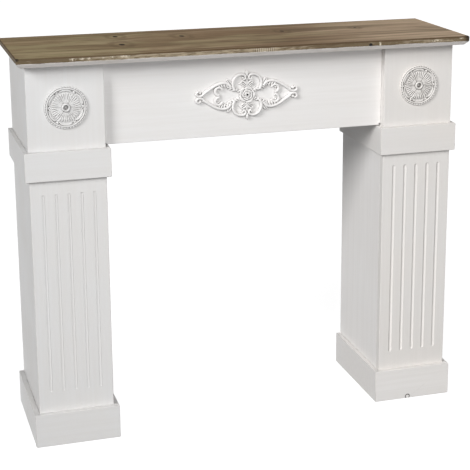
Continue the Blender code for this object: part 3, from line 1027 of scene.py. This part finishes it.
def add_leaf(bm, path, width, height, lobes=0, groove=0.0):
    def half_width(share):
        swell = math.sin(math.pi * min(1.0, 0.08 + 0.9 * share)) ** 0.7
        return max(0.4, width / 2 * swell * (1 + 0.12 * math.cos(lobes * math.tau * share)))

    def section(share, rim):
        body = math.sqrt(max(0.0, 1 - rim * rim)) * math.sin(math.pi * (0.15 + 0.75 * share)) ** 0.5
        cuts = 0.5 + 0.5 * math.cos(lobes * math.tau * (share + 0.06 * rim)) if lobes else 1.0
        return height * max(0.12, body * (1 - groove * bell(rim, 0.22)) * (0.55 + 0.45 * cuts))

    sweep(bm, path, half_width, section)


def add_dome(bm, centre, radius, height):
    dome = bmesh.ops.create_uvsphere(bm, u_segments=20, v_segments=12, radius=1.0)["verts"]
    for vert in dome:
        x, y, z = vert.co
        vert.co = (centre[0] + radius * x, centre[1] + radius * y, max(0.0, z) * height)


def straight(start, end, steps=12):
    start, end = Vector((*start, 0)), Vector((*end, 0))
    return [start.lerp(end, step / steps) for step in range(steps + 1)]


print("bands and leaves ready")

# %% [markdown]
# The quarter holds the long side arc with its curled tip, the scroll of the crown with its eye, the
# leaf that runs out from the rose, the double curl with its drilled eye and the fingers of the
# acanthus that hang from the side arc.

# %% One quarter of the ornament
FINGER_FEET = ((52, 30), (59, 31), (66, 30.5), (73, 28))
FINGER_TIPS = ((47.5, 19.5), (54, 18.5), (60.5, 18.5), (66, 20))
FINGER_WIDTH, FINGER_HEIGHT = 6.4, 7.2
SIDE_LEAF = ((40, 26), (51, 41))


def carve_quarter(bm):
    wide = BAND_WIDTH
    add_band(bm, smooth_curve(SIDE_ARC), (wide, 0.95 * wide), (7.6, 8.2))
    add_band(bm, smooth_curve(TIP_CURL), (0.95 * wide, 0.6 * wide), (7.6, 7.6))
    add_dome(bm, *TIP_BALL)
    add_band(bm, smooth_curve(CROWN_SCROLL), (wide, 0.7 * wide), (8.0, 8.8))
    add_dome(bm, *CROWN_BALL)
    add_leaf(bm, smooth_curve(LEAF_SPINE, 16), 12.0, 7.6, lobes=LEAF_LUMPS)
    add_band(bm, arc_curve(CURL_MIDDLE, CURL_RADIUS, 165, -95), (0.8 * wide, wide), (7.0, 7.8))
    add_dome(bm, *CURL_BALL)
    for foot, tip in zip(FINGER_FEET, FINGER_TIPS):
        add_leaf(bm, straight(foot, tip), FINGER_WIDTH, FINGER_HEIGHT)
    add_leaf(bm, straight(*SIDE_LEAF), 9.5, 7.6, groove=0.4)
    add_leaf(bm, smooth_curve(CALYX_LEAF), 8.0, 6.6, groove=0.4)
    add_band(bm, smooth_curve(CALYX_CURL), (4.6, 3.6), (6.0, 6.0))


print("a quarter has", len(FINGER_FEET), "fingers")

# %% [markdown]
# The rose is spun and carved like a rosette. Three whorls of petals lean over each other: in each
# whorl the height climbs slowly across a petal and drops at its edge, which is how a carver shows
# that one petal tucks under the next. A whorl is given as the shares of the radius where it ends
# and starts, its number of petals, the angle of the first one and its lowest and highest height.

# %% The rose
ROSE_RADIUS = 20.5
ROSE_WHORLS = (
    (0.98, 0.62, 5, 0.0, 5.6, 7.2),
    (0.66, 0.36, 5, 0.6, 7.4, 8.8),
    (0.40, 0.18, 3, 0.2, 8.6, 9.8),
)
ROSE_RINGS = 40
ROSE_STEPS = 150
ROSE_GROUND = 3.0
ROSE_SCALLOP = 0.04
BUD_AT, BUD_REACH, BUD_HEIGHT = 0.17, 0.075, 9.6
BUD_PIT, BUD_PIT_REACH = 5.0, 0.07


def rose_height(share, angle):
    height = ROSE_GROUND
    for outer, inner, count, first, low, high in ROSE_WHORLS:
        pitch = math.tau / count
        off = angle_from(angle, pitch, first) / pitch + 0.5
        edge = outer - 0.10 * (2 * off - 1) ** 4
        foot = inner * 0.8
        if foot < share < edge:
            cup = rise(share, foot, edge)
            lean = 1.2 * off
            drop = 1 - rise(share, edge - 0.05, edge)
            height = max(height, (low + (high - low) * cup + lean - 1.2) * (0.4 + 0.6 * drop))
    height = max(height, BUD_HEIGHT * bell(share - BUD_AT, BUD_REACH))
    if share < BUD_AT:
        height -= BUD_PIT * bell(share, BUD_PIT_REACH)
    return height


def add_rose(bm):
    rose = spin_disc(ROSE_RADIUS, 1.0, ROSE_RINGS, ROSE_STEPS, 0.0001)
    for vert in rose.verts:
        if vert.co.z > 0.5:
            share, angle = vert.co.xy.length / ROSE_RADIUS, math.atan2(vert.co.y, vert.co.x)
            vert.co.z = max(0.6, rose_height(share, angle))
            if share > 0.9:
                vert.co.xy *= 1 + ROSE_SCALLOP * math.cos(5 * angle)
    add_turned_over(bm, rose, 1, 1)


def add_turned_over(bm, part, across, up):
    """Adds a part, turned over to the left or to the bottom where a sign is -1."""
    bmesh.ops.transform(part, matrix=Matrix.Diagonal((across, up, 1, 1)), verts=part.verts)
    bmesh.ops.recalc_face_normals(part, faces=part.faces)
    mesh = new_mesh("part of the ornament", part)
    bm.from_mesh(mesh)
    bpy.data.meshes.remove(mesh)


print("rose of", len(ROSE_WHORLS), "whorls")

# %% [markdown]
# Last, the parts are fused. The voxel size sets how crisp the carving stays: 0.7 mm keeps the ribs of
# the leaves and stays far below the limit on triangles. A light smoothing takes away the steps that
# voxels leave, and the result is fitted to the box of the imported ornament. The foot of the casting,
# where it meets the board, is greyed as painted shade, like the recesses of the carving.

# %% Fuse the ornament
VOXEL = 0.7
VOXEL_SMOOTHING = (0.4, 2)
ORNAMENT_PAINTED_SHADE_DEPTH = 0.0003
FOOT_LINE = 0.0018
FOOT_PAINTED_SHADE = 0.8
FINIAL, STALK = ((0, 44), (0, 61)), ((0, 14), (0, 46))


def fuse(bm, voxel):
    """One skin round all the overlapping parts, worked out by a voxel remesh."""
    parts = add_object("ornament parts", new_mesh("ornament parts", bm))
    remesh = parts.modifiers.new("fuse", "REMESH")
    remesh.mode = "VOXEL"
    remesh.voxel_size = voxel
    result = with_modifiers(parts)
    discard(parts)
    return result


def make_ornament():
    bm = bmesh.new()
    for across in (1, -1):
        for up in (1, -1):
            quarter = bmesh.new()
            carve_quarter(quarter)
            add_turned_over(bm, quarter, across, up)
    for up in (1, -1):
        finial = bmesh.new()
        add_leaf(finial, straight(*FINIAL), 8.5, 8.2)
        add_leaf(finial, straight(*STALK), 8.0, 6.6, groove=0.3)
        add_turned_over(bm, finial, 1, up)
    add_rose(bm)
    bm = fuse(bm, VOXEL)
    smooth(bm, *VOXEL_SMOOTHING)

    low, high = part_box("frieze_ornament")
    reach = [max(abs(vert.co[axis]) for vert in bm.verts) for axis in range(3)]
    lowest = min(vert.co.z for vert in bm.verts)
    fit = (
        (high.x - low.x) / 2 / reach[0],
        (high.z - low.z) / 2 / reach[1],
        (high.y - low.y) / (reach[2] - lowest),
    )
    print("ornament is scaled by", [round(value, 6) for value in fit])
    bmesh.ops.translate(bm, verts=bm.verts, vec=(0, 0, -lowest))
    hang(bm, low, high, fit)
    for face in bm.faces:
        face.smooth = True
    # Painted shade: the recesses and the foot where the casting meets the board are greyed.
    mark_painted_shade(bm, ORNAMENT_PAINTED_SHADE_DEPTH)
    painted_shade = float_layer(bm, "painted_shade")
    for vert in bm.verts:
        near_foot = 1 - rise(high.y - vert.co.y, 0.0, FOOT_LINE)
        vert[painted_shade] = max(vert[painted_shade], FOOT_PAINTED_SHADE * near_foot)
    finish_piece(
        bm, "frieze_ornament_carved", carving_paint_with_painted_light, "carving_paint", "frieze_ornament"
    )


make_ornament()

# %% [markdown]
# ## Floor and light
#
# A studio picture of a white object needs a floor that is nearly white and soft light from more than
# one side. A broad distant lamp shines from the front left, not far up, so the carvings throw soft
# shadows to the lower right. A near lamp well in front, higher than the camera, lights the fronts
# and fades towards the feet. A weak near lamp stands low in front of the opening and reaches under
# the shelf. A second distant lamp stands behind and to the right, so that the back and the far side
# can be seen too. The floor glows, and its own light is kept off the object, which would otherwise
# lose its shadows under the shelf. The sky adds almost nothing.
#
# Each distant lamp is given as its strength, and then its spread, its turn from the front towards
# the left and its height above the floor, in degrees. Each near lamp is given as its place in metres
# and its power in watts.

# %% Floor and light
WHITE = (1.0, 1.0, 1.0, 1.0)
FLOOR_GREY = (0.3, 0.3, 0.3, 1.0)
FLOOR_ROUGHNESS = 0.9
FLOOR_SIZE = 60.0
FLOOR_GLOW = 0.90
SKY_STRENGTH = 0.05
DISTANT_LAMPS = ((2.25, 24.0, 55.0, 28.0), (1.1, 60.0, 240.0, 20.0))
NEAR_LAMPS = (((-0.2, -3.6, 2.5), 63.0), ((0.15, -2.3, 0.4), 10.0))
NEAR_SIZE = 1.1
NEAR_AIM = Vector((0.0, 0.0, 0.5))


def make_floor():
    bm = bmesh.new()
    bmesh.ops.create_grid(bm, x_segments=1, y_segments=1, size=FLOOR_SIZE / 2)
    floor = add_object("floor", new_mesh("floor", bm))
    material, _, shader = new_material("pale floor")
    shader.inputs["Base Color"].default_value = FLOOR_GREY
    shader.inputs["Roughness"].default_value = FLOOR_ROUGHNESS
    shader.inputs["Emission Color"].default_value = WHITE
    shader.inputs["Emission Strength"].default_value = FLOOR_GLOW
    floor.data.materials.append(material)
    floor.visible_diffuse = False


def make_sky():
    world = bpy.data.worlds.new("even sky")
    world.use_nodes = True
    background = world.node_tree.nodes["Background"]
    background.inputs["Color"].default_value = WHITE
    background.inputs["Strength"].default_value = SKY_STRENGTH
    bpy.context.scene.world = world


def make_lamps():
    for strength, spread, azimuth, elevation in DISTANT_LAMPS:
        distant = add_object("distant lamp", bpy.data.lights.new("distant lamp", "SUN"))
        distant.data.energy = strength
        distant.data.angle = math.radians(spread)
        distant.rotation_euler = Euler((math.radians(90 - elevation), 0, math.radians(-azimuth)))
    for place, power in NEAR_LAMPS:
        near = add_object("near lamp", bpy.data.lights.new("near lamp", "AREA"))
        near.data.energy = power
        near.data.size = NEAR_SIZE
        near.location = place
        near.rotation_euler = (NEAR_AIM - Vector(place)).to_track_quat("-Z", "Y").to_euler()


make_floor()
make_sky()
make_lamps()
bpy.context.scene.view_settings.view_transform = "Standard"
print("floor and light ready")
